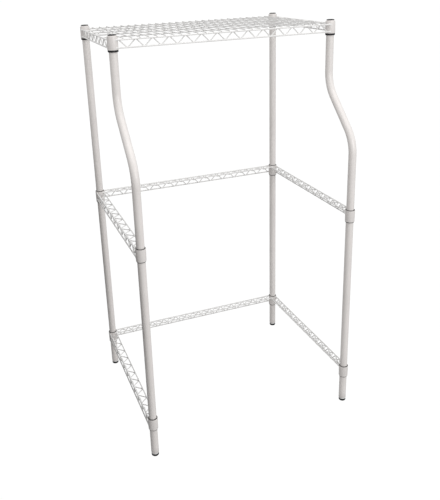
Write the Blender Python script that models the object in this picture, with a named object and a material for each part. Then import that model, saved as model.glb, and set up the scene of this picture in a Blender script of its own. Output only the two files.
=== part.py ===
"""Free-standing wire rack: four tube posts, one wire shelf on top, two
three-sided wire frames below, screw levelers under the posts.

Frame: +X to the right as seen from the open front, +Y to the back, +Z up.
Origin: centre of the rack's footprint, on the floor. All lengths in metres.
"""
import bpy
import bmesh
import math
from mathutils import Vector
from mathutils.geometry import delaunay_2d_cdt

# ---------------------------------------------------------------- dimensions
WIDTH = 0.750            # overall, over the corner collars
DEPTH = 0.600            # overall, over the corner collars of the two frames
HEIGHT = 1.350           # floor to the top of the post caps

POST_R = 0.0127          # 1 inch tube
POST_WALL = 0.0012
SIDES = 12               # facets of every round piece
GAP = 0.0003             # clearance between pieces that touch

COLLAR_R = 0.0162        # outer radius of a corner collar
COLLAR_R_IN = 0.0150
COLLAR_H = 0.038         # shelf collars
FRAME_COLLAR_H = 0.040   # collars of the two frames
SLEEVE_R_IN = 0.0131
SLEEVE_R_OUT = 0.0146
SLEEVE_SLIT = 0.002

AXIS_X = WIDTH / 2 - COLLAR_R        # post axes, left and right
REAR_Y = DEPTH / 2 - COLLAR_R        # axis of the rear posts
FRONT_Y = -REAR_Y                    # axis of the front posts, low part
STEP_BACK = 0.156                    # the front posts' top stands this much back
TOP_FRONT_Y = FRONT_Y + STEP_BACK    # axis of the front posts at the shelf

BEND_TOP_Z = 1.185       # where a front post starts to lean forward
BEND_R = 0.114           # centre line radius of both bends
BEND_ANGLE = math.radians(45)

SHELF_COLLAR_TOP = 1.344
MID_COLLAR_TOP = 0.747
BASE_COLLAR_TOP = 0.146

# welded wire: chords, zigzag wires, deck wires (square sections with about
# the same area as the round wires they stand for)
CHORD = 0.0046
ZIG = 0.0034
PITCH = 0.0508           # one full zigzag
WIRE_OFFSET = 0.0125     # trusses run this far outside the post axes
TRUSS_END = 0.0132       # truss chords stop this far from a post axis
INNER_END = 0.0152       # inner chords of the rails stop a little earlier
SHELF_TOP_WIRE_Z = 1.3345
SHELF_BOTTOM_WIRE_Z = 1.3115
RAIL_TOP_DROP = 0.006    # rail's top wire below its collar's top
RAIL_TALL = 0.025        # between the centres of a rail's top and bottom wire

DECK_PITCH = 0.0254
DECK_WIRES = 27
DECK_W = 0.0028
CROSS_W = 0.0044
CROSS_ROWS = 4

# feet
PAD_R = 0.0122
PAD_H = 0.008
FLANGE_H = 0.0035
INSERT_DEPTH = 0.022
STUD_R = 0.0039
STUD_BORE_R = 0.0043
STUD_HEAD_R = 0.0065
STUD_HEAD_H = 0.003
STUD_TOP = 0.046
POST_BOTTOM = PAD_H + GAP + FLANGE_H + GAP

CAP_T = 0.0025
POST_TOP = HEIGHT - CAP_T - GAP

# ------------------------------------------------------------------ cleaning
for ob in list(bpy.data.objects):
    bpy.data.objects.remove(ob, do_unlink=True)
for me in list(bpy.data.meshes):
    bpy.data.meshes.remove(me)

COL = bpy.context.scene.collection


# ----------------------------------------------------------------- materials
def material(name, colour, rough, metal):
    m = bpy.data.materials.new(name)
    m.use_nodes = True
    p = m.node_tree.nodes["Principled BSDF"]
    p.inputs["Base Color"].default_value = (*colour, 1.0)
    p.inputs["Roughness"].default_value = rough
    p.inputs["Metallic"].default_value = metal
    m.diffuse_color = (*colour, 1.0)
    return m


FINISH = {
    "tube": ((0.80, 0.78, 0.77), 0.38, 0.0),
    "wire": ((0.82, 0.82, 0.81), 0.36, 0.0),
    "collar": ((0.78, 0.76, 0.75), 0.40, 0.0),
    "sleeve": ((0.015, 0.015, 0.016), 0.50, 0.0),
    "cap": ((0.02, 0.02, 0.021), 0.55, 0.0),
    "insert": ((0.84, 0.84, 0.83), 0.50, 0.0),
    "stud": ((0.62, 0.62, 0.62), 0.30, 1.0),
    "pad": ((0.02, 0.02, 0.02), 0.75, 0.0),
}


def add(name, bm, finish, parent, loc=(0, 0, 0), smooth=True):
    """Turn a bmesh into a named object that hangs under a parent empty."""
    bmesh.ops.remove_doubles(bm, verts=bm.verts, dist=1e-7)
    bmesh.ops.recalc_face_normals(bm, faces=bm.faces)
    me = bpy.data.meshes.new(name)
    bm.to_mesh(me)
    bm.free()
    ob = bpy.data.objects.new(name, me)
    COL.objects.link(ob)
    ob.parent = parent
    ob.location = loc
    colour, rough, metal = FINISH[finish]
    me.materials.append(material("mat_" + name, colour, rough, metal))
    if smooth:
        me.shade_smooth()
        me.set_sharp_from_angle(angle=math.radians(40))
    return ob


def empty(name, loc=(0, 0, 0), parent=None):
    ob = bpy.data.objects.new(name, None)
    COL.objects.link(ob)
    ob.location = loc
    ob.parent = parent
    return ob


# -------------------------------------------------------------- round shapes
def ring_angles(n=SIDES):
    """Corner-aligned angles: corners lie on the X and Y axes."""
    return [2 * math.pi * k / n for k in range(n)]


def turned(profile, n=SIDES):
    """Closed (r, z) outline turned about Z; r may be 0 on the axis."""
    bm = bmesh.new()
    rings = []
    for r, z in profile:
        if r < 1e-9:
            rings.append([bm.verts.new((0, 0, z))])
        else:
            rings.append([bm.verts.new((r * math.cos(a), r * math.sin(a), z)) for a in ring_angles(n)])
    m = len(rings)
    for i in range(m):
        a, b = rings[i], rings[(i + 1) % m]
        if len(a) == 1 and len(b) == 1:
            continue
        for k in range(n):
            k2 = (k + 1) % n
            if len(a) == 1:
                bm.faces.new((a[0], b[k2], b[k]))
            elif len(b) == 1:
                bm.faces.new((a[k], a[k2], b[0]))
            else:
                bm.faces.new((a[k], a[k2], b[k2], b[k]))
    return bm


def split_ring(profile, slit, n=SIDES):
    """Like turned(), with a slit cut through the facet that looks along +X:
    the corners are half a facet round from those of turned()."""
    bm = bmesh.new()
    cols = []
    angs = [a + math.pi / n for a in ring_angles(n)]
    flat = math.cos(math.pi / n)
    cols.append([bm.verts.new((r * flat, slit / 2, z)) for r, z in profile])
    for a in angs:
        cols.append([bm.verts.new((r * math.cos(a), r * math.sin(a), z)) for r, z in profile])
    cols.append([bm.verts.new((r * flat, -slit / 2, z)) for r, z in profile])
    m = len(profile)
    for c in range(len(cols) - 1):
        for i in range(m):
            j = (i + 1) % m
            bm.faces.new((cols[c][i], cols[c + 1][i], cols[c + 1][j], cols[c][j]))
    bm.faces.new(cols[0])
    bm.faces.new(list(reversed(cols[-1])))
    return bm


def tube_along(path, r_out, r_in, n=SIDES):
    """Hollow tube along a path of (y, z) points in one plane, open at both ends."""
    bm = bmesh.new()
    outer, inner = [], []
    pts = [Vector((0, y, z)) for y, z in path]
    for i, p in enumerate(pts):
        a = (pts[i] - pts[i - 1]).normalized() if i else (pts[1] - pts[0]).normalized()
        b = (pts[i + 1] - pts[i]).normalized() if i < len(pts) - 1 else a
        t = (a + b).normalized()
        side = Vector((1, 0, 0))
        up = side.cross(t)
        k = 1.0 / max(0.2, t.dot(a))
        for rr, store in ((r_out, outer), (r_in, inner)):
            store.append([bm.verts.new(p + side * (rr * math.cos(w)) + up * (rr * math.sin(w) * k))
                          for w in ring_angles(n)])
    for ring in (outer, inner):
        for i in range(len(pts) - 1):
            for k in range(n):
                k2 = (k + 1) % n
                bm.faces.new((ring[i][k], ring[i][k2], ring[i + 1][k2], ring[i + 1][k]))
    for end in (0, -1):
        for k in range(n):
            k2 = (k + 1) % n
            bm.faces.new((outer[end][k], outer[end][k2], inner[end][k2], inner[end][k]))
    return bm


def front_post_path():
    """Centre line of a front post, bottom to top, relative to the top's Y."""
    s, c = math.sin(BEND_ANGLE), math.cos(BEND_ANGLE)
    run = (STEP_BACK - 2 * BEND_R * (1 - c)) / s
    steps = 4
    top, low = [], []
    for k in range(steps + 1):
        a = BEND_ANGLE * k / steps
        top.append((-BEND_R * (1 - math.cos(a)), BEND_TOP_Z - BEND_R * math.sin(a)))
    y1 = top[-1][0] - run * s
    z1 = top[-1][1] - run * c
    for k in range(steps + 1):
        a = BEND_ANGLE * (1 - k / steps)
        low.append((y1 - BEND_R * (1 - c) + BEND_R * (1 - math.cos(a)), z1 - BEND_R * (s - math.sin(a))))
    path = [(0.0, POST_TOP)] + top + low + [(-STEP_BACK, POST_BOTTOM)]
    return list(reversed(path))


# ------------------------------------------------------------------ wirework
def inside(p, loop):
    """True where the 2-D point p lies inside the closed loop."""
    hit = False
    for i in range(len(loop)):
        (x1, y1), (x2, y2) = loop[i - 1], loop[i]
        if (y1 > p[1]) != (y2 > p[1]) and p[0] < x1 + (x2 - x1) * (p[1] - y1) / (y2 - y1):
            hit = not hit
    return hit


def flat_faces(loops):
    """Triangles that fill the first loop outside the other loops, as indices
    into the loops' points taken in order."""
    pts = [Vector(p) for loop in loops for p in loop]
    edges, base = [], 0
    for loop in loops:
        m = len(loop)
        edges += [(base + i, base + (i + 1) % m) for i in range(m)]
        base += m
    verts, _, faces, orig, _, _ = delaunay_2d_cdt(pts, edges, [], 0, 1e-7)
    out = []
    for f in faces:
        mid = sum((verts[i] for i in f), Vector((0, 0))) / len(f)
        if inside(mid, loops[0]) and not any(inside(mid, h) for h in loops[1:]):
            out.append([orig[i][0] for i in f])
    return out


def slab(loops, origin, u, v, thick):
    """Flat body from 2-D loops (the first is the outline, the rest are holes),
    in the plane of the unit vectors u and v, centred on that plane."""
    bm = bmesh.new()
    n = u.cross(v).normalized()
    sides = []
    for s in (0.5, -0.5):
        sides.append([bm.verts.new(origin + u * a + v * b + n * (thick * s)) for loop in loops for a, b in loop])
    for t in flat_faces(loops):
        bm.faces.new([sides[0][i] for i in t])
        bm.faces.new([sides[1][i] for i in reversed(t)])
    base = 0
    for loop in loops:
        m = len(loop)
        for i in range(m):
            j = (i + 1) % m
            bm.faces.new((sides[0][base + i], sides[0][base + j], sides[1][base + j], sides[1][base + i]))
        base += m
    return bm


def zig_nodes(length):
    """Positions where the zigzag wire touches a chord, centred on the length."""
    half = PITCH / 2
    count = int((length - 0.016) / half)
    if count % 2 == 0:
        count -= 1
    start = (length - count * half) / 2
    return [start + k * half for k in range(count + 1)]


def truss_loops(length, tall, chord_lo, chord_hi, zig):
    """Two chords and a zigzag between them, from u = 0 to length. The chords'
    centre lines are at v = 0 and v = tall."""
    nodes = zig_nodes(length)
    lo, hi = chord_lo / 2, tall - chord_hi / 2
    half = PITCH / 2
    tilt = math.atan2(tall, half)
    shift = zig / 2 / math.sin(tilt)          # half the stroke's width along u

    def u_at(k, v, side):
        """u of stroke k's edge (side -1 left, +1 right) at height v."""
        a, b = nodes[k], nodes[k + 1]
        f = v / tall
        mid = a + (b - a) * f if k % 2 == 0 else a + (b - a) * (1 - f)
        return mid + side * shift

    last = len(nodes) - 2
    outline = [(0, -lo), (length, -lo), (length, lo), (u_at(last, lo, 1), lo),
               (u_at(last, hi, 1), hi), (length, hi), (length, tall + chord_hi / 2),
               (0, tall + chord_hi / 2), (0, hi), (u_at(0, hi, -1), hi),
               (u_at(0, lo, -1), lo), (0, lo)]
    loops = [outline]
    for k in range(last):
        # hole between stroke k and stroke k + 1
        if k % 2 == 0:       # the strokes meet above: the hole's base is below
            a, b = u_at(k, lo, 1), u_at(k + 1, lo, -1)
            drop = shift * tall / half
            loops.append([(a, lo), (b, lo), (nodes[k + 1], tall - drop)])
        else:                # the strokes meet below
            a, b = u_at(k, hi, 1), u_at(k + 1, hi, -1)
            rise = shift * tall / half
            loops.append([(b, hi), (a, hi), (nodes[k + 1], rise)])
    return loops


def union(target, tool):
    """Weld the tool's body to the target with an exact Boolean, kept live."""
    tool.hide_render = True
    tool.display_type = 'WIRE'
    mod = target.modifiers.new("weld", 'BOOLEAN')
    mod.operation = 'UNION'
    mod.solver = 'EXACT'
    mod.object = tool


def box_bm(boxes):
    bm = bmesh.new()
    for lo, hi in boxes:
        vs = [bm.verts.new((x, y, z)) for x in (lo[0], hi[0]) for y in (lo[1], hi[1]) for z in (lo[2], hi[2])]
        for f in ((0, 1, 3, 2), (4, 6, 7, 5), (0, 4, 5, 1), (2, 3, 7, 6), (0, 2, 6, 4), (1, 5, 7, 3)):
            bm.faces.new([vs[i] for i in f])
    return bm


# ------------------------------------------------------------------ the rack
rack = empty("rack")
shelf = empty("shelf", parent=rack)
mid_frame = empty("mid_frame", parent=rack)
base_frame = empty("base_frame", parent=rack)

CORNERS = {
    "front_left": (-AXIS_X, FRONT_Y, TOP_FRONT_Y, 0.0),
    "front_right": (AXIS_X, FRONT_Y, TOP_FRONT_Y, math.pi),
    "rear_left": (-AXIS_X, REAR_Y, REAR_Y, 0.0),
    "rear_right": (AXIS_X, REAR_Y, REAR_Y, math.pi),
}

for corner, (x, y_low, y_top, turn) in CORNERS.items():
    # post: a bent tube in front, a straight one behind
    if corner.startswith("front"):
        path = front_post_path()
    else:
        path = [(0.0, POST_BOTTOM), (0.0, POST_TOP)]
    add("post_" + corner, tube_along(path, POST_R, POST_R - POST_WALL), "tube", rack, (x, y_top, 0))

    # cap: a flat disc with a plug inside the tube
    plug_r = POST_R - POST_WALL - GAP
    cap = turned([(0, 0), (POST_R - 0.0006, 0), (POST_R, -0.0008), (POST_R, -CAP_T), (plug_r, -CAP_T),
                  (plug_r - 0.0008, -0.016), (0, -0.016)])
    add("post_cap_" + corner, cap, "cap", rack, (x, y_top, HEIGHT))

    # leveler: an insert pressed in the tube, a threaded stud, a pad that the
    # stud's head turns in
    foot = empty("foot_" + corner, (x, y_low, 0), rack)
    top = POST_BOTTOM - GAP
    insert = turned([(STUD_BORE_R, top - FLANGE_H), (PAD_R, top - FLANGE_H), (PAD_R, top),
                     (plug_r, top), (plug_r - 0.0008, top + INSERT_DEPTH), (STUD_BORE_R, top + INSERT_DEPTH)])
    add("leveler_insert_" + corner, insert, "insert", foot)
    seat = 0.0036                        # floor of the pad's socket
    pad = turned([(0, 0), (PAD_R - 0.0010, 0), (PAD_R, 0.0012), (PAD_R, PAD_H - 0.0008), (PAD_R - 0.0008, PAD_H),
                  (STUD_HEAD_R + 0.0004, PAD_H), (STUD_HEAD_R + 0.0004, seat), (0, seat)])
    add("leveler_pad_" + corner, pad, "pad", foot)
    stud = turned([(0, seat + GAP), (STUD_HEAD_R, seat + GAP), (STUD_HEAD_R, seat + GAP + STUD_HEAD_H),
                   (STUD_R, seat + GAP + STUD_HEAD_H), (STUD_R, STUD_TOP - 0.001), (STUD_R - 0.001, STUD_TOP),
                   (0, STUD_TOP)])
    add("leveler_stud_" + corner, stud, "stud", foot)

    # corner collars and the split sleeves that wedge them on the post
    for level, group, y, z_top, tall in (("shelf", shelf, y_top, SHELF_COLLAR_TOP, COLLAR_H),
                                         ("mid", mid_frame, y_low, MID_COLLAR_TOP, FRAME_COLLAR_H),
                                         ("base", base_frame, y_low, BASE_COLLAR_TOP, FRAME_COLLAR_H)):
        z_low = z_top - tall
        r_hi, r_lo = (COLLAR_R - 0.0004, COLLAR_R) if level == "shelf" else (COLLAR_R, COLLAR_R - 0.0006)
        collar = turned([(COLLAR_R_IN, 0), (r_lo, 0), (r_hi, tall), (COLLAR_R_IN, tall)])
        add(level + "_collar_" + corner, collar, "collar", group, (x, y, z_low))
        if level == "shelf":
            ring = [(SLEEVE_R_IN, -0.0058), (COLLAR_R - 0.0006, -0.0058), (COLLAR_R - 0.0006, -GAP),
                    (SLEEVE_R_OUT, -GAP), (SLEEVE_R_OUT, tall - 0.001), (SLEEVE_R_IN, tall - 0.001)]
        else:
            ring = [(SLEEVE_R_IN, -0.0024), (SLEEVE_R_OUT, -0.0024), (SLEEVE_R_OUT, tall + 0.0016),
                    (SLEEVE_R_IN, tall + 0.0016)]
        sleeve = add(level + "_sleeve_" + corner, split_ring(ring, SLEEVE_SLIT), "sleeve", group, (x, y, z_low))
        sleeve.rotation_euler = (0, 0, turn + math.pi / SIDES)

# --------------------------------------------------------------- wire trusses
UX, UY, UZ = Vector((1, 0, 0)), Vector((0, 1, 0)), Vector((0, 0, 1))

shelf_tall = SHELF_TOP_WIRE_Z - SHELF_BOTTOM_WIRE_Z
span_x = 2 * AXIS_X - 2 * TRUSS_END
span_y = REAR_Y - TOP_FRONT_Y - 2 * TRUSS_END
for name, start, u, length in (
        ("front", (-AXIS_X + TRUSS_END, TOP_FRONT_Y - WIRE_OFFSET), UX, span_x),
        ("rear", (-AXIS_X + TRUSS_END, REAR_Y + WIRE_OFFSET), UX, span_x),
        ("left", (-AXIS_X - WIRE_OFFSET, TOP_FRONT_Y + TRUSS_END), UY, span_y),
        ("right", (AXIS_X + WIRE_OFFSET, TOP_FRONT_Y + TRUSS_END), UY, span_y)):
    bm = slab(truss_loops(length, shelf_tall, CHORD, CHORD, ZIG), Vector((0, 0, 0)), u, UZ, CHORD)
    add("shelf_truss_" + name, bm, "wire", shelf, (start[0], start[1], SHELF_BOTTOM_WIRE_Z), smooth=False)

# deck: front-to-back wires welded on top of a few cross wires
deck_lo = SHELF_TOP_WIRE_Z + CHORD / 2 + GAP
deck_hi = deck_lo + 0.0030
y0, y1 = TOP_FRONT_Y - WIRE_OFFSET - CHORD / 2, REAR_Y + WIRE_OFFSET + CHORD / 2
first = -(DECK_WIRES - 1) / 2 * DECK_PITCH
long_wires = []
for k in range(DECK_WIRES):
    x = first + k * DECK_PITCH
    long_wires.append(((x - DECK_W / 2, y0, deck_lo), (x + DECK_W / 2, y1, deck_hi)))
deck = add("shelf_deck", box_bm(long_wires), "wire", shelf, smooth=False)
reach = AXIS_X + WIRE_OFFSET - CHORD / 2 - GAP
front_wire, rear_wire = TOP_FRONT_Y - WIRE_OFFSET, REAR_Y + WIRE_OFFSET
rows = []
for k in range(CROSS_ROWS):
    y = front_wire + (rear_wire - front_wire) * (k + 1) / (CROSS_ROWS + 1)
    rows.append(((-reach, y - CROSS_W / 2, deck_lo + 0.0006 - CROSS_W), (reach, y + CROSS_W / 2, deck_lo + 0.0006)))
cross = add("deck_cross_tool", box_bm(rows), "wire", shelf, smooth=False)
union(deck, cross)

# rails of the two three-sided frames: a standing truss on the outside and a
# lying zigzag from its top wire to an inner wire
for level, group, z_top in (("mid", mid_frame, MID_COLLAR_TOP), ("base", base_frame, BASE_COLLAR_TOP)):
    z_hi = z_top - RAIL_TOP_DROP
    z_lo = z_hi - RAIL_TALL
    side_len = REAR_Y - FRONT_Y
    for name, start, u, inward, length in (
            ("left", (-AXIS_X, FRONT_Y), UY, UX, side_len),
            ("right", (AXIS_X, FRONT_Y), UY, -UX, side_len),
            ("rear", (-AXIS_X, REAR_Y), UX, -UY, 2 * AXIS_X)):
        outer = Vector((start[0], start[1], 0)) - inward * WIRE_OFFSET
        standing = slab(truss_loops(length - 2 * TRUSS_END, RAIL_TALL, CHORD, CHORD, ZIG),
                        u * TRUSS_END, u, UZ, CHORD)
        rail = add(level + "_rail_" + name, standing, "wire", group, (outer.x, outer.y, z_lo), smooth=False)
        lying = slab(truss_loops(length - 2 * INNER_END, 2 * WIRE_OFFSET, ZIG, CHORD * 0.9, ZIG),
                     u * INNER_END, u, inward, ZIG)
        tool = add(level + "_lying_" + name + "_tool", lying, "wire", group, (outer.x, outer.y, z_hi), smooth=False)
        union(rail, tool)
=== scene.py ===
"""Looks of the free-standing wire rack: every CAD node gets a fine version of
itself at the same place, on the same body. Metres, +Z up."""
import math

import bmesh
import bpy
import numpy as np
from mathutils import Matrix, Vector


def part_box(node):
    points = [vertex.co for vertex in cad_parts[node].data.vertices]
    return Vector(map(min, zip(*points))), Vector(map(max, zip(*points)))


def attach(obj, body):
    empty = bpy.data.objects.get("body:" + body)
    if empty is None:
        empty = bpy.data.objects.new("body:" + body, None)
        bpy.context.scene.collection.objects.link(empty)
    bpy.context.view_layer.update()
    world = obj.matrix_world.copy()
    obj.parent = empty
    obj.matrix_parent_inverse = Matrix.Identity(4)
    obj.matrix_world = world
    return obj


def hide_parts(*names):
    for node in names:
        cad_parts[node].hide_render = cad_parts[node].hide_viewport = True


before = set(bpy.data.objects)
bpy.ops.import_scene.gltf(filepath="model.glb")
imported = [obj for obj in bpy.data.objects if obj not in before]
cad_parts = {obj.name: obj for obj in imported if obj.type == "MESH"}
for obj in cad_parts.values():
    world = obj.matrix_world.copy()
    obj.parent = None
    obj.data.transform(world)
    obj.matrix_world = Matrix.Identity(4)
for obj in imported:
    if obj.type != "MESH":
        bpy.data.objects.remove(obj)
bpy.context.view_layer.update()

CORNERS = ("front_left", "front_right", "rear_left", "rear_right")

# sizes that the boxes of the nodes don't give
POST_R = 0.0127
POST_WALL = 0.0012
GROOVE_PITCH = 0.0254
CHORD_R = 0.0023
ZIG_R = 0.0018
ZIG_PITCH = 0.0508
DECK_R = 0.00155
CROSS_R = 0.0022
INNER_R = 0.0021
WELD_IN = 0.0156          # wires end inside the wall of a collar
SLIT = 0.0020


# ------------------------------------------------------------------- meshes
class Shells:
    """Closed shells gathered into one piece."""

    def __init__(self):
        self.v, self.f, self.n = [], [], 0

    def put(self, verts, faces):
        self.v.append(np.asarray(verts, float))
        self.f += [tuple(i + self.n for i in f) for f in faces]
        self.n += len(verts)

    def rings(self, rings, closed=False, caps=True):
        """Join rings of equal length; closed joins the last to the first."""
        m, n = len(rings), len(rings[0])
        faces = []
        for i in range(m if closed else m - 1):
            a, b = i * n, ((i + 1) % m) * n
            for k in range(n):
                k2 = (k + 1) % n
                faces.append((a + k, a + k2, b + k2, b + k))
        if not closed and caps:
            faces.append(tuple(range(n - 1, -1, -1)))
            faces.append(tuple((m - 1) * n + k for k in range(n)))
        self.put(np.concatenate(rings), faces)

    def piece(self, name, angle=38):
        me = bpy.data.meshes.new(name)
        me.from_pydata(np.concatenate(self.v).tolist(), [], self.f)
        bm = bmesh.new()
        bm.from_mesh(me)
        bmesh.ops.recalc_face_normals(bm, faces=bm.faces)
        bm.to_mesh(me)
        bm.free()
        me.validate()
        me.shade_smooth()
        me.set_sharp_from_angle(angle=math.radians(angle))
        ob = bpy.data.objects.new(name, me)
        bpy.context.scene.collection.objects.link(ob)
        return ob


def circle(n, phase=0.0):
    a = phase + 2 * np.pi * np.arange(n) / n
    return np.cos(a), np.sin(a)


def frames(pts):
    """Tangent and two normals along a line, carried without twist."""
    pts = np.asarray(pts, float)
    seg = np.diff(pts, axis=0)
    seg /= np.linalg.norm(seg, axis=1)[:, None]
    tan = np.vstack([seg[:1], seg[:-1] + seg[1:], seg[-1:]])
    tan /= np.linalg.norm(tan, axis=1)[:, None]
    ref = np.array([0, 0, 1.0]) if abs(tan[0][2]) < 0.8 else np.array([1.0, 0, 0])
    u = np.cross(tan[0], ref)
    u /= np.linalg.norm(u)
    us = []
    for t in tan:
        u = u - t * (u @ t)
        u /= np.linalg.norm(u)
        us.append(u)
    us = np.array(us)
    return tan, us, np.cross(tan, us)


def saddle(ring, direction, axis, radius):
    """Slide each point of a ring along a direction onto an upright cylinder."""
    d = np.asarray(direction, float)
    rel = ring[:, :2] - np.asarray(axis)
    a = d[:2] @ d[:2]
    b = rel @ d[:2]
    c = (rel ** 2).sum(1) - radius ** 2
    disc = np.maximum(b * b - a * c, 0)
    s = (-b - np.sqrt(disc)) / a
    return ring + s[:, None] * d


def wire(shells, pts, r, n=14, ends=("cut", "cut")):
    """A round wire. An end is "cut" (blunt, slightly rounded), "dome", or a
    post axis (x, y): then it is welded to that post's collar."""
    pts = np.asarray(pts, float)
    tan, u, w = frames(pts)
    c, s = circle(n, math.pi / n)
    ring = lambda p, i, k: p + r * k * (c[:, None] * u[i] + s[:, None] * w[i])
    rings = [ring(p, i, 1.0) for i, p in enumerate(pts)]
    for which in (0, 1):
        i = 0 if which == 0 else len(pts) - 1
        out = -tan[0] if which == 0 else tan[-1]
        end = ends[which]
        extra = []
        if isinstance(end, str):
            steps = ((1.0, -0.42), (0.93, -0.14), (0.76, 0.0)) if end == "cut" else \
                ((1.0, -1.0), (0.93, -0.63), (0.78, -0.37), (0.55, -0.16), (0.28, -0.04))
            for k, back in steps:
                extra.append(ring(pts[i] + out * back * r, i, k))
        else:
            base = ring(pts[i], i, 1.0)
            for back, k in ((0.0034, 1.0), (0.0024, 1.05), (0.0015, 1.16), (0.0007, 1.34), (0.0, 1.5)):
                big = pts[i] + (base - pts[i]) * k
                extra.append(saddle(big, out, end, WELD_IN + (0.0 if k == 1.5 else 0.0004)) - out * back)
        if which == 0:
            rings = extra[::-1] + rings[1:]
        else:
            rings = rings[:-1] + extra
    shells.rings(rings)


def bent(pts, radius, steps=5):
    """Round the corners of an open line with arcs."""
    pts = np.asarray(pts, float)
    out = [pts[0]]
    for a, b, c in zip(pts[:-2], pts[1:-1], pts[2:]):
        p, q = a - b, c - b
        lp, lq = np.linalg.norm(p), np.linalg.norm(q)
        p, q = p / lp, q / lq
        half = math.acos(max(-1, min(1, p @ q))) / 2
        cut = min(radius / math.tan(half), 0.48 * lp, 0.48 * lq)
        rad = cut * math.tan(half)
        centre = b + (p + q) / np.linalg.norm(p + q) * (rad / math.sin(half))
        e0, e1 = b + p * cut - centre, b + q * cut - centre
        for k in range(steps + 1):
            t = k / steps
            v = e0 * (1 - t) + e1 * t
            out.append(centre + v / np.linalg.norm(v) * rad)
    out.append(pts[-1])
    return np.array(out)


def nugget(shells, p, along, size, n=10):
    """A small smooth weld bead, longer along one direction."""
    along = np.asarray(along, float) / np.linalg.norm(along)
    ref = np.array([0, 0, 1.0]) if abs(along[2]) < 0.8 else np.array([1.0, 0, 0])
    u = np.cross(along, ref)
    u /= np.linalg.norm(u)
    w = np.cross(along, u)
    c, s = circle(n)
    rings = []
    for t in (-80, -52, -22, 22, 52, 80):
        t = math.radians(t)
        rings.append(np.asarray(p) + along * size[0] * math.sin(t)
                     + size[1] * math.cos(t) * (c[:, None] * u + s[:, None] * w))
    shells.rings(rings)


def turned(shells, profile, at=(0, 0, 0), n=56, closed=True):
    """A (r, z) outline turned about a vertical axis; closed joins its ends,
    otherwise it starts and ends near the axis and is capped."""
    c, s = circle(n)
    at = np.asarray(at, float)
    rings = [np.stack([at[0] + r * c, at[1] + r * s, np.full(n, at[2] + z)], 1) for r, z in profile]
    shells.rings(rings, closed=closed)


def rounded(profile, radius, steps=3):
    """Round every corner of a closed (r, z) outline."""
    pts = np.asarray(profile, float)
    out = []
    m = len(pts)
    for i in range(m):
        a, b, c = pts[i - 1], pts[i], pts[(i + 1) % m]
        rad = radius[i] if isinstance(radius, (list, tuple)) else radius
        if rad <= 0:
            out.append(b)
            continue
        p, q = a - b, c - b
        lp, lq = np.linalg.norm(p), np.linalg.norm(q)
        p, q = p / lp, q / lq
        half = math.acos(max(-1, min(1, p @ q))) / 2
        if half > math.radians(86):
            out.append(b)
            continue
        cut = min(rad / math.tan(half), 0.45 * lp, 0.45 * lq)
        rr = cut * math.tan(half)
        centre = b + (p + q) / np.linalg.norm(p + q) * (rr / math.sin(half))
        e0, e1 = b + p * cut - centre, b + q * cut - centre
        for k in range(steps + 1):
            t = k / steps
            v = e0 * (1 - t) + e1 * t
            out.append(centre + v / np.linalg.norm(v) * rr)
    return out


def centre_of(node):
    lo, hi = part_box(node)
    return (lo + hi) / 2


# ---------------------------------------------------------------- materials
def nodes_of(name):
    m = bpy.data.materials.new(name)
    m.use_nodes = True
    t = m.node_tree
    return m, t, t.nodes["Principled BSDF"]


def noise(t, scale, detail=2.0, rough=0.5, stretch=None):
    n = t.nodes.new("ShaderNodeTexNoise")
    n.inputs["Scale"].default_value = scale
    n.inputs["Detail"].default_value = detail
    n.inputs["Roughness"].default_value = rough
    c = t.nodes.new("ShaderNodeTexCoord")
    if stretch:
        mp = t.nodes.new("ShaderNodeMapping")
        mp.inputs["Scale"].default_value = stretch
        t.links.new(c.outputs["Object"], mp.inputs["Vector"])
        t.links.new(mp.outputs["Vector"], n.inputs["Vector"])
    else:
        t.links.new(c.outputs["Object"], n.inputs["Vector"])
    return n


def ramp(t, source, stops):
    r = t.nodes.new("ShaderNodeValToRGB")
    e = r.color_ramp.elements
    while len(e) < len(stops):
        e.new(0.5)
    for k, (pos, col) in enumerate(stops):
        e[k].position = pos
        e[k].color = (*col, 1.0) if len(col) == 3 else col
    t.links.new(source, r.inputs["Fac"])
    return r


def spread(t, source, lo, hi, frm=(0.3, 0.7)):
    m = t.nodes.new("ShaderNodeMapRange")
    m.inputs["From Min"].default_value = frm[0]
    m.inputs["From Max"].default_value = frm[1]
    m.inputs["To Min"].default_value = lo
    m.inputs["To Max"].default_value = hi
    t.links.new(source, m.inputs["Value"])
    return m


def bump(t, height, strength, distance, under=None):
    b = t.nodes.new("ShaderNodeBump")
    b.inputs["Strength"].default_value = strength
    b.inputs["Distance"].default_value = distance
    t.links.new(height, b.inputs["Height"])
    if under is not None:
        t.links.new(under.outputs["Normal"], b.inputs["Normal"])
    return b


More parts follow.
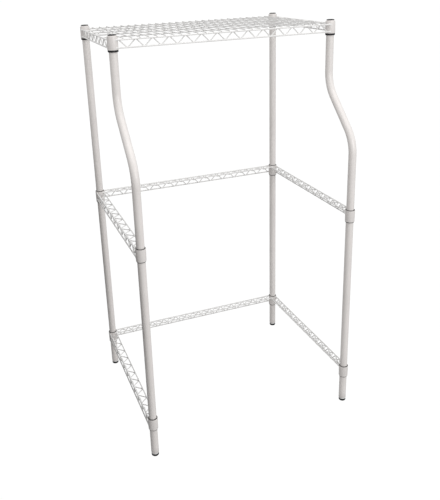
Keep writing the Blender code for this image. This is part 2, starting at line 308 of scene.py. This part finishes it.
def powder_coat(name, tint, rough, peel=0.00006, coat=0.25):
    """Epoxy powder coat on steel: fine orange peel, a faint unevenness of
    tone from one area to the next, and a soft gloss."""
    m, t, p = nodes_of(name)
    broad = noise(t, 9.0, 3.0, 0.55)
    col = ramp(t, broad.outputs["Fac"], [(0.30, [c * 0.97 for c in tint]), (0.52, tint),
                                         (0.74, [min(1, c * 1.03) for c in tint])])
    speck = noise(t, 420.0, 2.0, 0.6)
    sp = ramp(t, speck.outputs["Fac"], [(0.34, (0.965, 0.965, 0.965)), (0.48, (1, 1, 1))])
    mix = t.nodes.new("ShaderNodeMix")
    mix.data_type = 'RGBA'
    mix.blend_type = 'MULTIPLY'
    mix.inputs["Factor"].default_value = 1.0
    t.links.new(col.outputs["Color"], mix.inputs[6])
    t.links.new(sp.outputs["Color"], mix.inputs[7])
    t.links.new(mix.outputs[2], p.inputs["Base Color"])
    cloud = noise(t, 55.0, 3.0, 0.5)
    r = spread(t, cloud.outputs["Fac"], rough - 0.05, rough + 0.06)
    t.links.new(r.outputs["Result"], p.inputs["Roughness"])
    wave = noise(t, 330.0, 2.0, 0.5)
    grain = noise(t, 1500.0, 1.0, 0.5)
    b1 = bump(t, wave.outputs["Fac"], 0.35, peel * 2.2)
    b2 = bump(t, grain.outputs["Fac"], 0.30, peel, b1)
    t.links.new(b2.outputs["Normal"], p.inputs["Normal"])
    p.inputs["Specular IOR Level"].default_value = 0.45
    p.inputs["Coat Weight"].default_value = coat
    p.inputs["Coat Roughness"].default_value = 0.22
    return m


def moulded_plastic(name, tint, rough, grain_scale=1100.0, depth=0.00008):
    """Moulded plastic: fine spark-eroded grain, slightly scuffed."""
    m, t, p = nodes_of(name)
    broad = noise(t, 70.0, 3.0, 0.6)
    light = [c * 1.7 + 0.004 for c in tint] if tint[0] < 0.2 else [min(1, c * 1.03) for c in tint]
    col = ramp(t, broad.outputs["Fac"], [(0.35, tint), (0.72, light)])
    t.links.new(col.outputs["Color"], p.inputs["Base Color"])
    r = spread(t, broad.outputs["Fac"], rough + 0.07, rough - 0.06)
    t.links.new(r.outputs["Result"], p.inputs["Roughness"])
    g = noise(t, grain_scale, 2.0, 0.6)
    b = bump(t, g.outputs["Fac"], 0.5, depth)
    t.links.new(b.outputs["Normal"], p.inputs["Normal"])
    p.inputs["Specular IOR Level"].default_value = 0.16 if tint[0] < 0.2 else 0.4
    return m


def zinc_plate(name):
    """Bright zinc plating on a turned stud: fine rings round the axis."""
    m, t, p = nodes_of(name)
    rings = noise(t, 260.0, 3.0, 0.6, stretch=(0.25, 0.25, 6.0))
    col = ramp(t, rings.outputs["Fac"], [(0.3, (0.50, 0.51, 0.53)), (0.7, (0.70, 0.71, 0.72))])
    t.links.new(col.outputs["Color"], p.inputs["Base Color"])
    r = spread(t, rings.outputs["Fac"], 0.24, 0.42)
    t.links.new(r.outputs["Result"], p.inputs["Roughness"])
    b = bump(t, rings.outputs["Fac"], 0.25, 0.00005)
    t.links.new(b.outputs["Normal"], p.inputs["Normal"])
    p.inputs["Metallic"].default_value = 1.0
    return m


MAT = {
    "tube_white": powder_coat("tube_powder_coat", (0.722, 0.687, 0.667), 0.36),
    "wire_white": powder_coat("wire_powder_coat", (0.722, 0.714, 0.704), 0.36),
    "collar_white": powder_coat("collar_powder_coat", (0.690, 0.658, 0.640), 0.40, 0.00007),
    "sleeve_black": moulded_plastic("sleeve_plastic", (0.012, 0.012, 0.013), 0.46),
    "cap_black": moulded_plastic("cap_plastic", (0.014, 0.014, 0.015), 0.50),
    "insert_white": moulded_plastic("insert_plastic", (0.700, 0.695, 0.690), 0.50, 900.0),
    "stud_zinc": zinc_plate("stud_zinc_plate"),
    "pad_black": moulded_plastic("pad_plastic", (0.006, 0.006, 0.006), 0.70, 800.0, 0.00012),
}


def settle(shells, node, body, slot, angle=38):
    ob = shells.piece(node + "_fine", angle)
    ob.data.materials.append(MAT[slot])
    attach(ob, body)
    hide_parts(node)
    return ob


# -------------------------------------------------------------------- posts
def post_line(corner):
    """Centre line of a post, bottom to top, as (y, z), and the stretches that
    are straight and upright."""
    node = "post_" + corner
    lo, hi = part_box(node)
    bottom, top = lo.z, hi.z
    if corner.startswith("rear"):
        y = (lo.y + hi.y) / 2
        return [(y, bottom), (y, top)], [(bottom, top)]
    y_low, y_top = lo.y + POST_R, hi.y - POST_R
    step = y_top - y_low
    start, rad, ang = 1.185, 0.114, math.radians(45)
    s, c = math.sin(ang), math.cos(ang)
    run = (step - 2 * rad * (1 - c)) / s
    upper, lower = [], []
    for k in range(19):
        a = ang * k / 18
        upper.append((y_top - rad * (1 - math.cos(a)), start - rad * math.sin(a)))
    y1, z1 = upper[-1][0] - run * s, upper[-1][1] - run * c
    for k in range(19):
        a = ang * (1 - k / 18)
        lower.append((y1 - rad * (1 - c) + rad * (1 - math.cos(a)), z1 - rad * (s - math.sin(a))))
    down = [(y_top, top)] + upper + lower + [(y_low, bottom)]
    return down[::-1], [(bottom, lower[-1][1]), (start, top)]


def post_piece(corner):
    x = centre_of("post_" + corner).x
    line, straight = post_line(corner)
    bottom = line[0][1]
    samples = []                                     # (y, z, radius)
    for (ya, za), (yb, zb) in zip(line[:-1], line[1:]):
        samples.append((ya, za, POST_R))
        upright = abs(ya - yb) < 1e-6
        if upright:
            k = 1
            while bottom + k * GROOVE_PITCH < zb - 0.004:
                z = bottom + k * GROOVE_PITCH
                if z > za + 0.004:
                    for dz, cut in ((-0.0022, 0.0), (-0.0010, 0.0), (-0.0004, 0.00016), (0.0004, 0.00016),
                                    (0.0010, 0.0), (0.0022, 0.0)):
                        samples.append((ya, z + dz, POST_R - cut))
                k += 1
    samples.append((*line[-1], POST_R))
    sh = Shells()
    n = 48
    c, s = circle(n)
    pts = np.array([(x, y, z) for y, z, _ in samples])
    tan, _, _ = frames(pts)
    side = np.array([1.0, 0, 0])
    rings = []

    def ring(i, r, shift=0.0):
        up = np.cross(tan[i], side)
        up /= np.linalg.norm(up)
        return pts[i] + tan[i] * shift + r * (c[:, None] * side + s[:, None] * up)

    soft = 0.0004
    rings.append(ring(0, POST_R - soft))
    rings.append(ring(0, POST_R, soft))
    for i in range(1, len(samples) - 1):
        rings.append(ring(i, samples[i][2]))
    last = len(samples) - 1
    rings.append(ring(last, POST_R, -soft))
    rings.append(ring(last, POST_R - soft))
    inner = POST_R - POST_WALL
    bare = [i for i, q in enumerate(samples) if i in (0, last) or (q[0], q[1]) in line]
    for i in reversed(bare):
        rings.append(ring(i, inner))
    sh.rings(rings, closed=True)
    return settle(sh, "post_" + corner, "frame", "tube_white", 50)


# ------------------------------------------------------- round parts of posts
def cap_piece(corner):
    node = "post_cap_" + corner
    lo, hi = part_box(node)
    mid = (lo + hi) / 2
    top, r = hi.z, (hi.x - lo.x) / 2
    plug = POST_R - POST_WALL - 0.0003
    low = top - 0.0025
    prof = [(0.0004, top - 0.00005), (0.0060, top - 0.0001), (0.0092, top - 0.0002), (0.0110, top - 0.00045),
            (0.0120, top - 0.0008), (r - 0.0002, top - 0.0013), (r, top - 0.0018), (r, low + 0.0002),
            (r - 0.0002, low), (plug, low), (plug, low - 0.0030), (plug - 0.0004, low - 0.0034),
            (plug - 0.0004, low - 0.0060), (plug, low - 0.0064), (plug - 0.0001, low - 0.0100),
            (plug - 0.0010, lo.z), (0.0004, lo.z)]
    sh = Shells()
    turned(sh, prof, (mid.x, mid.y, 0), closed=False)
    return settle(sh, node, "frame", "cap_black")


def insert_piece(corner):
    node = "leveler_insert_" + corner
    lo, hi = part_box(node)
    mid = (lo + hi) / 2
    r = (hi.x - lo.x) / 2
    flange_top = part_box("post_" + corner)[0].z - 0.0003
    bore, plug = 0.0043, POST_R - POST_WALL - 0.0003
    prof = rounded([(bore, lo.z), (r, lo.z), (r, flange_top), (plug, flange_top),
                    (plug, lo.z + 0.012), (plug - 0.0008, hi.z), (bore, hi.z)],
                   [0.0003, 0.0006, 0.0005, 0, 0, 0.0006, 0.0003])
    sh = Shells()
    turned(sh, prof, (mid.x, mid.y, 0))
    return settle(sh, node, "frame", "insert_white")


def pad_piece(corner):
    node = "leveler_pad_" + corner
    lo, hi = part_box(node)
    mid = (lo + hi) / 2
    r = (hi.x - lo.x) / 2
    socket, seat = 0.0069, lo.z + 0.0036
    sh = Shells()
    prof = [(0.0004, lo.z + 0.0003), (r * 0.62, lo.z + 0.0003), (r * 0.66, lo.z), (r - 0.0022, lo.z),
            (r - 0.0011, lo.z + 0.0003), (r - 0.0004, lo.z + 0.0010), (r, lo.z + 0.0021), (r, hi.z - 0.0026),
            (r - 0.0003, hi.z - 0.0024), (r - 0.0003, hi.z - 0.0019), (r, hi.z - 0.0017),
            (r - 0.0001, hi.z - 0.0007), (r - 0.0008, hi.z), (socket + 0.0004, hi.z), (socket, hi.z - 0.0004),
            (socket, seat), (0.0004, seat)]
    turned(sh, prof, (mid.x, mid.y, 0), closed=False)
    return settle(sh, node, "pad_" + corner, "pad_black")


def stud_piece(corner):
    node = "leveler_stud_" + corner
    lo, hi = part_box(node)
    mid = (lo + hi) / 2
    head_r, head_h = (hi.x - lo.x) / 2, 0.003
    sh = Shells()
    turned(sh, [(0.0003, lo.z), (head_r - 0.0005, lo.z), (head_r, lo.z + 0.0005), (head_r, lo.z + head_h - 0.0006),
                (head_r - 0.0006, lo.z + head_h), (0.0003, lo.z + head_h)], (mid.x, mid.y, 0), closed=False)
    # metric thread, right-handed
    n, pitch, r, deep = 30, 0.00125, 0.0039, 0.00068
    z0, z1 = lo.z + head_h - 0.0006, hi.z
    rows = int((z1 - z0) / pitch * 7)
    a = 2 * np.pi * np.arange(n) / n
    rings = []
    for i in range(rows + 1):
        z = z0 + (z1 - z0) * i / rows
        ph = (z / pitch - a / (2 * np.pi)) % 1.0
        tri = np.clip(np.abs(ph - 0.5) * 2.6 - 0.8, 0, 1)          # 0 on the crest, 1 in the root
        rr = r - deep * tri
        end = (z1 - z) / 0.0012
        if end < 1:
            rr = np.minimum(rr, r - 0.0011 * (1 - end))
        neck = (z - z0) / 0.0022
        if neck < 1:
            rr = np.minimum(rr, r - deep * 0.9)
        rings.append(np.stack([mid.x + rr * np.cos(a), mid.y + rr * np.sin(a), np.full(n, z)], 1))
    sh.rings(rings)
    return settle(sh, node, "stud_" + corner, "stud_zinc", 60)


# -------------------------------------------------------- collars and sleeves
def collar_piece(level, corner):
    node = f"{level}_collar_{corner}"
    lo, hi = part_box(node)
    mid = (lo + hi) / 2
    big = (hi.x - lo.x) / 2
    if level == "shelf":
        r_lo, r_hi = big, big - 0.0004
    else:
        r_lo, r_hi = big - 0.0006, big
    r_in = 0.0150
    prof = rounded([(r_in, lo.z), (r_lo, lo.z), (r_hi, hi.z), (r_in, hi.z)], [0.0003, 0.0005, 0.0005, 0.0003], 4)
    sh = Shells()
    turned(sh, prof, (mid.x, mid.y, 0), n=72)
    return settle(sh, node, "frame", "collar_white")


def sleeve_piece(level, corner):
    node = f"{level}_sleeve_{corner}"
    lo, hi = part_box(node)
    c = centre_of(f"{level}_collar_{corner}")
    col_lo, col_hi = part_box(f"{level}_collar_{corner}")
    r_in, r_out = 0.0131, 0.0146
    if level == "shelf":
        fl = 0.0156
        prof = rounded([(r_in, lo.z), (fl, lo.z), (fl, col_lo.z - 0.0003), (r_out, col_lo.z - 0.0003),
                        (r_out, hi.z), (r_in, hi.z)], [0.0003, 0.0008, 0.0004, 0, 0.0003, 0.0003])
    else:
        prof = rounded([(r_in, lo.z), (r_out, lo.z), (r_out, hi.z), (r_in, hi.z)], 0.0004)
    face = math.pi / 12 + (math.pi if c.x > 0 else 0)
    n = 64
    edge = SLIT / 2 / r_out
    ang = face + np.linspace(edge, 2 * np.pi - edge, n)
    m = len(prof)
    cols = [np.array([(c.x + r * math.cos(a), c.y + r * math.sin(a), z) for r, z in prof]) for a in ang]
    sh = Shells()
    sh.rings(cols)
    return settle(sh, node, "frame", "sleeve_black", 50)


# -------------------------------------------------------------------- wirework
def zig_spots(length):
    """Where the zigzag touches its two wires, as (distance, side)."""
    half = ZIG_PITCH / 2
    count = int((length - 0.016) / half)
    if count % 2 == 0:
        count -= 1
    start = (length - count * half) / 2
    spots = [(start + k * half, k % 2) for k in range(count + 1)]
    reach = min(half, start - 0.0030)
    if reach > 0.6 * half:                            # one more stroke up to the collars
        spots = [(start - reach, 1)] + spots + [(length - start + reach, 0)]
    return spots


def zigzag(shells, origin, u, v, tall, length, back, sink=0.0):
    """Bent wire between two chords, welded to the sides of both. origin is the
    lower chord's line at u = 0, back the offset of the zigzag's own plane."""
    origin, u, v, back = (np.asarray(a, float) for a in (origin, u, v, back))
    spots = zig_spots(length)
    tip = 0.0004 + sink
    bend = 0.0042
    tilt = math.atan2(tall - 2 * tip, ZIG_PITCH / 2)
    over = bend * (1 / math.cos(tilt) - 1)            # how far a rounded tip falls short
    pts = []
    for k, (a, side) in enumerate(spots):
        past = 0.0 if k in (0, len(spots) - 1) else over
        h = tip - past if side == 0 else tall - tip + past
        pts.append(origin + u * a + v * h + back)
    if spots[0][0] > 0.008:
        # the ends run a little way along the chord they are welded to
        lead = 0.0060
        pts = [pts[0] - u * lead] + pts + [pts[-1] + u * lead]
    line = bent(pts, bend)
    wire(shells, line, ZIG_R, 12, ("dome", "dome"))
    for a, side in spots:
        h = tall - 0.0002 if side else 0.0002
        nugget(shells, origin + u * a + v * h + back * 0.52, u, (0.0034, 0.0016))


def chord(shells, a, b, r, ends, n=16):
    wire(shells, [a, b], r, n, ends)


def axis_of(level, corner):
    c = centre_of(f"{level}_collar_{corner}")
    return (c.x, c.y)


def shelf_truss(name, first, second, along, inward):
    node = "shelf_truss_" + name
    lo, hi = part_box(node)
    along, inward = np.asarray(along, float), np.asarray(inward, float)
    z_lo, z_hi = lo.z + CHORD_R, hi.z - CHORD_R
    p, q = axis_of("shelf", first), axis_of("shelf", second)
    mid = (lo + hi) / 2
    if along[0]:
        a, b = np.array([lo.x, mid.y, 0]), np.array([hi.x, mid.y, 0])
    else:
        a, b = np.array([mid.x, lo.y, 0]), np.array([mid.x, hi.y, 0])
    up = np.array([0, 0, 1.0])
    sh = Shells()
    for z in (z_lo, z_hi):
        chord(sh, a + up * z, b + up * z, CHORD_R, (p, q))
    length = float((b - a) @ along)
    zigzag(sh, a + up * z_lo, along, up, z_hi - z_lo, length, inward * (CHORD_R + ZIG_R - 0.0007))
    return settle(sh, node, "frame", "wire_white", 50)


def rail(level, name, first, second, along, inward, stop=None):
    """Standing truss outside, lying zigzag to an inner wire. stop shortens the
    inner wire's ends where another rail's inner wire is in its way."""
    node = f"{level}_rail_{name}"
    lo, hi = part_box(node)
    along, inward = np.asarray(along, float), np.asarray(inward, float)
    p, q = np.array([*axis_of(level, first), 0.0]), np.array([*axis_of(level, second), 0.0])
    z_lo, z_hi = lo.z + CHORD_R, hi.z - CHORD_R
    up = np.array([0, 0, 1.0])
    off = 0.0125
    trim, trim_in = 0.0132, 0.0152
    sh = Shells()
    a, b = p - inward * off + along * trim, q - inward * off - along * trim
    for z in (z_lo, z_hi):
        chord(sh, a + up * z, b + up * z, CHORD_R, (tuple(p[:2]), tuple(q[:2])))
    zigzag(sh, a + up * z_lo, along, up, z_hi - z_lo, float((b - a) @ along), inward * (CHORD_R + ZIG_R - 0.0007))
    # inner wire
    c, d = p + inward * off + along * trim_in, q + inward * off - along * trim_in
    ends = [tuple(p[:2]), tuple(q[:2])]
    if stop:
        if stop[0]:
            c = p + inward * off + along * (off + INNER_R * 0.4)
            ends[0] = "cut"
        if stop[1]:
            d = q + inward * off - along * (off + INNER_R * 0.4)
            ends[1] = "cut"
    chord(sh, c + up * z_hi, d + up * z_hi, INNER_R, tuple(ends))
    # lying zigzag, welded under the two wires
    e = p - inward * off + along * trim_in
    f = q - inward * off - along * trim_in
    zigzag(sh, e + up * z_hi, along, inward, 2 * off, float((f - e) @ along), -up * (CHORD_R + ZIG_R - 0.0009))
    return settle(sh, node, "frame", "wire_white", 50)


def deck_piece():
    lo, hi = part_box("shelf_deck")
    f_lo, f_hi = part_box("shelf_truss_front")
    r_lo, r_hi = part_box("shelf_truss_rear")
    l_mid = centre_of("shelf_truss_left").x
    top = f_hi.z                                      # top of the truss chords
    z = top + DECK_R - 0.0002
    sh = Shells()
    count = 27
    first = -(count - 1) / 2 * 0.0254
    y_front, y_rear = (f_lo.y + f_hi.y) / 2, (r_lo.y + r_hi.y) / 2
    rows = [y_front + (y_rear - y_front) * (k + 1) / 5 for k in range(4)]
    z_cross = z - DECK_R - CROSS_R + 0.0007
    for k in range(count):
        x = first + k * 0.0254
        wire(sh, [(x, lo.y, z), (x, y_front + 0.004, z), (x, y_rear - 0.004, z), (x, hi.y, z)], DECK_R, 12)
        for y in (y_front, y_rear):
            nugget(sh, (x, y, z - DECK_R + 0.0001), (1, 0, 0), (0.0023, 0.0011))
        for y in rows:
            nugget(sh, (x, y, z - DECK_R + 0.0002), (1, 0, 0), (0.0024, 0.0012))
    for y in rows:
        wire(sh, [(-abs(l_mid) + 0.0008, y, z_cross), (abs(l_mid) - 0.0008, y, z_cross)], CROSS_R, 14)
        for s in (-1, 1):
            nugget(sh, (s * (abs(l_mid) - 0.0022), y, z_cross), (0, 1, 0), (0.0036, 0.0022))
    return settle(sh, "shelf_deck", "frame", "wire_white", 50)


# ------------------------------------------------------------------ assemble
for corner in CORNERS:
    post_piece(corner)
    cap_piece(corner)
    insert_piece(corner)
    pad_piece(corner)
    stud_piece(corner)
    for level in ("shelf", "mid", "base"):
        collar_piece(level, corner)
        sleeve_piece(level, corner)

shelf_truss("front", "front_left", "front_right", (1, 0, 0), (0, 1, 0))
shelf_truss("rear", "rear_left", "rear_right", (1, 0, 0), (0, -1, 0))
shelf_truss("left", "front_left", "rear_left", (0, 1, 0), (1, 0, 0))
shelf_truss("right", "front_right", "rear_right", (0, 1, 0), (-1, 0, 0))
deck_piece()
for level in ("mid", "base"):
    rail(level, "left", "front_left", "rear_left", (0, 1, 0), (1, 0, 0), (False, True))
    rail(level, "right", "front_right", "rear_right", (0, 1, 0), (-1, 0, 0), (False, True))
    rail(level, "rear", "rear_left", "rear_right", (1, 0, 0), (0, -1, 0))

# ------------------------------------------------------------- studio, camera
# The floor is one leveler's travel below the rack, so that a foot screwed
# right out still stands on it and doesn't sink in.
bpy.ops.mesh.primitive_plane_add(size=120, location=(0, 0, -0.0155))
floor = bpy.context.object
floor.name = "studio_floor"
fm, ft, fp = nodes_of("studio_floor_paint")
fp.inputs["Base Color"].default_value = (0.03, 0.03, 0.03, 1)
fp.inputs["Roughness"].default_value = 0.95
fp.inputs["Specular IOR Level"].default_value = 0.0
fp.inputs["Emission Color"].default_value = (1, 1, 1, 1)
fp.inputs["Emission Strength"].default_value = 1.0
fm.cycles.emission_sampling = 'NONE'
floor.data.materials.append(fm)
floor.visible_diffuse = False
floor.visible_glossy = False

# a white studio round it all, which lights nothing
bpy.ops.mesh.primitive_uv_sphere_add(segments=64, ring_count=32, radius=45)
wall = bpy.context.object
wall.name = "studio_wall"
wm, wn, wp = nodes_of("studio_wall_paint")
wp.inputs["Base Color"].default_value = (0, 0, 0, 1)
wp.inputs["Specular IOR Level"].default_value = 0.0
wp.inputs["Emission Color"].default_value = (1, 1, 1, 1)
wp.inputs["Emission Strength"].default_value = 1.02
wm.cycles.emission_sampling = 'NONE'
wall.data.materials.append(wm)
wall.visible_diffuse = wall.visible_glossy = wall.visible_transmission = wall.visible_shadow = False

# a dark card low on the left, as a studio uses to give pale tubes an edge
bpy.ops.mesh.primitive_plane_add(size=1, location=(-0.84, -0.1, 0.43), rotation=(0, math.pi / 2, 0))
card = bpy.context.object
card.name = "studio_card"
card.scale = (0.9, 1.8, 1)
cm, ct, cp = nodes_of("studio_card_paint")
cp.inputs["Base Color"].default_value = (0.02, 0.02, 0.02, 1)
cp.inputs["Roughness"].default_value = 1.0
cp.inputs["Specular IOR Level"].default_value = 0.0
card.data.materials.append(cm)
card.visible_camera = False

world = bpy.data.worlds.new("studio_world")
bpy.context.scene.world = world
world.use_nodes = True
wt = world.node_tree
tc = wt.nodes.new("ShaderNodeTexCoord")
sep = wt.nodes.new("ShaderNodeSeparateXYZ")
wt.links.new(tc.outputs["Generated"], sep.inputs["Vector"])
grad = ramp(wt, spread(wt, sep.outputs["Z"], 0.0, 1.0, (-1.0, 1.0)).outputs["Result"],
            [(0.0, (0.56, 0.56, 0.56)), (0.46, (0.78, 0.78, 0.78)), (0.52, (1.0, 1.0, 1.0)), (1.0, (0.95, 0.95, 0.95))])
sides = ramp(wt, spread(wt, sep.outputs["X"], 0.0, 1.0, (-1.0, 1.0)).outputs["Result"],
             [(0.0, (0.66, 0.66, 0.66)), (0.24, (0.84, 0.84, 0.84)), (0.50, (1.0, 1.0, 1.0)), (0.78, (1.0, 1.0, 1.0)), (1.0, (0.72, 0.72, 0.72))])
both = wt.nodes.new("ShaderNodeMix")
both.data_type = 'RGBA'
both.blend_type = 'MULTIPLY'
both.inputs["Factor"].default_value = 1.0
wt.links.new(grad.outputs["Color"], both.inputs[6])
wt.links.new(sides.outputs["Color"], both.inputs[7])
wt.links.new(both.outputs[2], wt.nodes["Background"].inputs["Color"])
wt.nodes["Background"].inputs["Strength"].default_value = 1.0


def area(name, at, aim, size, power, colour=(1, 1, 1)):
    li = bpy.data.lights.new(name, 'AREA')
    li.shape = 'RECTANGLE'
    li.size, li.size_y = size
    li.energy = power
    li.color = colour
    ob = bpy.data.objects.new(name, li)
    bpy.context.scene.collection.objects.link(ob)
    ob.location = at
    ob.rotation_mode = 'QUATERNION'
    ob.rotation_quaternion = (Vector(aim) - Vector(at)).to_track_quat('-Z', 'Y')
    ob.visible_glossy = True
    return ob


area("soft_top", (0.2, -0.6, 3.4), (0, 0, 0.8), (2.4, 2.4), 22)
area("soft_front", (0.5, -2.6, 1.7), (0, 0, 0.8), (0.9, 0.9), 16)

cam_data = bpy.data.cameras.new("camera")
cam = bpy.data.objects.new("camera", cam_data)
bpy.context.scene.collection.objects.link(cam)
bpy.context.scene.camera = cam
YAW, PITCH, ROLL = math.radians(20.10), math.radians(18.84), math.radians(-2.10)
FOCAL, CX, CY = 635.5, 202.8, 184.9
look = Vector((math.sin(YAW) * math.cos(PITCH), math.cos(YAW) * math.cos(PITCH), -math.sin(PITCH)))
right = Vector((math.cos(YAW), -math.sin(YAW), 0))
up = right.cross(look)
rx = right * math.cos(ROLL) + up * math.sin(ROLL)
ry = up * math.cos(ROLL) - right * math.sin(ROLL)
m = Matrix((rx, ry, -look)).transposed().to_4x4()
m.translation = Vector((-0.768, -1.955, 1.520))
cam.matrix_world = m
cam_data.sensor_fit = 'AUTO'
cam_data.sensor_width = 36.0
cam_data.lens = FOCAL / 500 * 36.0
cam_data.shift_x = (220 - CX) / 500
cam_data.shift_y = (CY - 250) / 500
cam_data.clip_start, cam_data.clip_end = 0.05, 200

bpy.context.scene.view_settings.view_transform = 'Standard'
